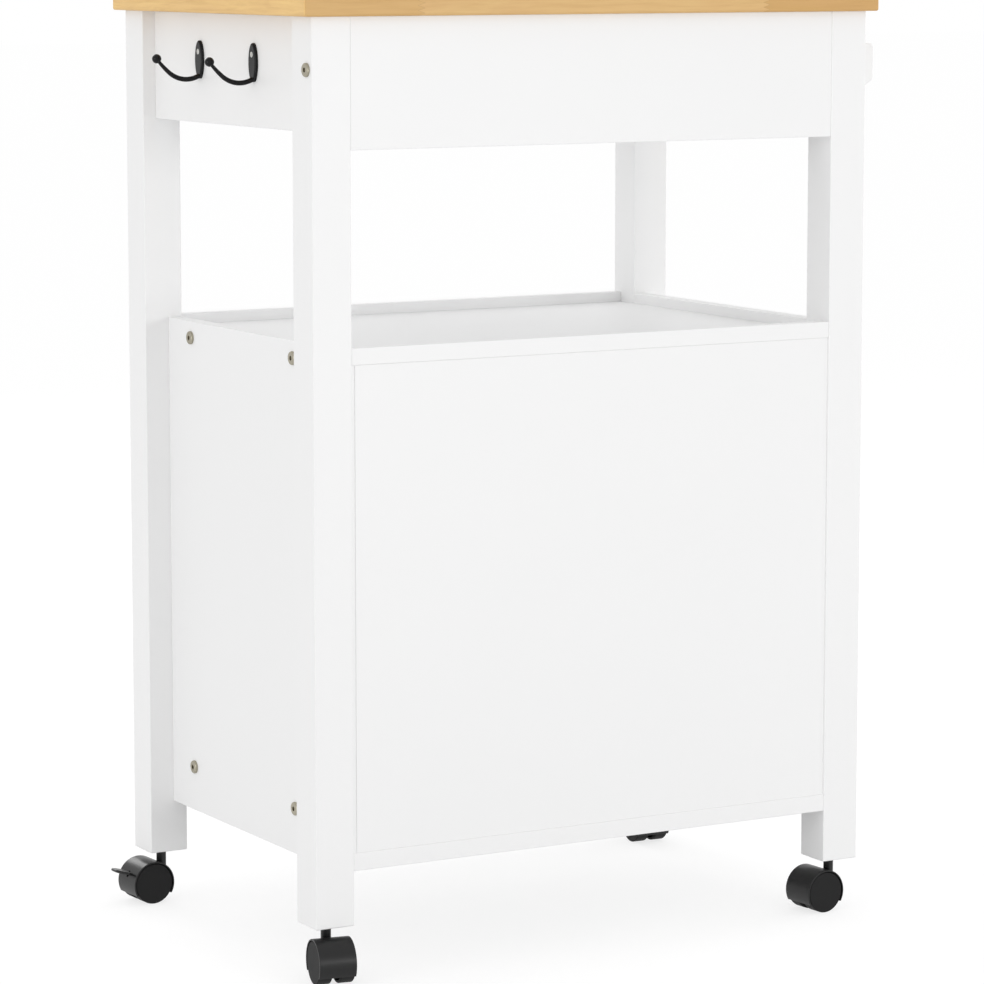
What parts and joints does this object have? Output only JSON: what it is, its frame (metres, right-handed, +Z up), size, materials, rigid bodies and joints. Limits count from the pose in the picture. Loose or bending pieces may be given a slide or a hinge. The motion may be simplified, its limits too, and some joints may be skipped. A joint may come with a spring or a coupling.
{
  "type": "kitchen trolley",
  "caption": "White kitchen trolley on twin-wheel casters with a wooden worktop, a drawer, an open shelf, a two-door cabinet, side hooks and a towel rail.",
  "frame": {"origin": "on the floor at the centre of the four legs", "axes": "+X to the right side with the hooks, as seen from the front; +Y to the back panel; +Z up. The drawer and doors face -Y and the towel rail is on the -X side"},
  "size_m": [0.6548, 0.4304, 0.874],
  "materials": {
    "beech_top": "oiled finger-jointed staves",
    "white_lacquer": "satin white lacquer",
    "black_iron": "glossy black enamel",
    "black_plastic": "semi matt black",
    "bright_steel": "bright zinc plated",
    "white_plastic": "smooth white"
  },
  "bodies": {
    "frame": {"worktop": "beech_top", "leg_front_left": "white_lacquer", "leg_front_right": "white_lacquer", "leg_back_left": "white_lacquer", "leg_back_right": "white_lacquer", "apron_back": "white_lacquer", "apron_left": "white_lacquer", "apron_right": "white_lacquer", "drawer_rail": "white_lacquer", "drawer_runner_left": "white_lacquer", "drawer_runner_right": "white_lacquer", "shelf_board": "white_lacquer", "shelf_rail_front": "white_lacquer", "shelf_rail_back": "white_lacquer", "side_panel_left": "white_lacquer", "side_panel_right": "white_lacquer", "floor_board": "white_lacquer", "floor_rail_front": "white_lacquer", "floor_rail_back": "white_lacquer", "back_panel": "white_lacquer", "hinge_leaves_fixed": "bright_steel", "door_catches": "white_plastic", "hook_front": "black_iron", "hook_back": "black_iron", "towel_bar": "white_lacquer", "towel_bracket_front": "white_lacquer", "towel_bracket_back": "white_lacquer", "worktop_brackets": "bright_steel", "wood_screws": "bright_steel", "frame_bolts": "bright_steel", "hook_screws": "bright_steel", "caster_sockets": "bright_steel"},
    "drawer": {"drawer_front": "white_lacquer", "drawer_side_left": "white_lacquer", "drawer_side_right": "white_lacquer", "drawer_back": "white_lacquer", "drawer_bottom": "white_lacquer", "drawer_knob": "black_iron"},
    "door_left_leaf": {"door_left": "white_lacquer", "door_knob_left": "black_iron", "hinge_leaves_left": "bright_steel", "door_fittings_left": "bright_steel"},
    "door_right_leaf": {"door_right": "white_lacquer", "door_knob_right": "black_iron", "hinge_leaves_right": "bright_steel", "door_fittings_right": "bright_steel"},
    "caster_front_left": {"caster_hood_front_left": "black_plastic", "caster_pins_front_left": "bright_steel"},
    "wheels_front_left": {"caster_wheels_front_left": "black_plastic"},
    "caster_front_right": {"caster_hood_front_right": "black_plastic", "caster_pins_front_right": "bright_steel"},
    "wheels_front_right": {"caster_wheels_front_right": "black_plastic"},
    "caster_back_left": {"caster_hood_back_left": "black_plastic", "caster_pins_back_left": "bright_steel"},
    "wheels_back_left": {"caster_wheels_back_left": "black_plastic"},
    "caster_back_right": {"caster_hood_back_right": "black_plastic", "caster_pins_back_right": "bright_steel"},
    "wheels_back_right": {"caster_wheels_back_right": "black_plastic"},
    "lever_front_left": {"brake_lever_front_left": "black_plastic"},
    "lever_front_right": {"brake_lever_front_right": "black_plastic"}
  },
  "joints": [
    {"name": "drawer_slide", "type": "slide", "parent": "frame", "child": "drawer", "axis": [0, -1, 0], "range_m": [0, 0.24]},
    {"name": "door_right_hinge", "type": "hinge", "parent": "frame", "child": "door_right_leaf", "pos_m": [0.251, -0.1959, 0.35], "axis": [0, 0, 1], "range_deg": [0, 160]},
    {"name": "door_left_hinge", "type": "hinge", "parent": "frame", "child": "door_left_leaf", "pos_m": [-0.251, -0.1959, 0.35], "axis": [0, 0, -1], "range_deg": [0, 160]},
    {"name": "swivel_front_left", "type": "hinge", "parent": "frame", "child": "caster_front_left", "pos_m": [-0.271, -0.174, 0.05], "axis": [0, 0, 1], "continuous": true},
    {"name": "roll_front_left", "type": "hinge", "parent": "caster_front_left", "child": "wheels_front_left", "pos_m": [-0.26985, -0.15754, 0.0195], "axis": [-0.9976, 0.0698, 0], "continuous": true},
    {"name": "brake_front_left", "type": "hinge", "parent": "caster_front_left", "child": "lever_front_left", "pos_m": [-0.26891, -0.14407, 0.02], "axis": [-0.9976, 0.0698, 0], "range_deg": [0, 8]},
    {"name": "swivel_front_right", "type": "hinge", "parent": "frame", "child": "caster_front_right", "pos_m": [0.271, -0.174, 0.05], "axis": [0, 0, 1], "continuous": true},
    {"name": "roll_front_right", "type": "hinge", "parent": "caster_front_right", "child": "wheels_front_right", "pos_m": [0.28748, -0.17314, 0.0195], "axis": [-0.0523, 0.9986, 0], "continuous": true},
    {"name": "brake_front_right", "type": "hinge", "parent": "caster_front_right", "child": "lever_front_right", "pos_m": [0.30096, -0.17243, 0.02], "axis": [-0.0523, 0.9986, 0], "range_deg": [0, 8]},
    {"name": "swivel_back_left", "type": "hinge", "parent": "frame", "child": "caster_back_left", "pos_m": [-0.271, 0.174, 0.05], "axis": [0, 0, 1], "continuous": true},
    {"name": "roll_back_left", "type": "hinge", "parent": "caster_back_left", "child": "wheels_back_left", "pos_m": [-0.25456, 0.17544, 0.0195], "axis": [-0.0872, 0.9962, 0], "continuous": true},
    {"name": "swivel_back_right", "type": "hinge", "parent": "frame", "child": "caster_back_right", "pos_m": [0.271, 0.174, 0.05], "axis": [0, 0, 1], "continuous": true},
    {"name": "roll_back_right", "type": "hinge", "parent": "caster_back_right", "child": "wheels_back_right", "pos_m": [0.27387, 0.19025, 0.0195], "axis": [-0.9848, 0.1736, 0], "continuous": true}
  ]
}
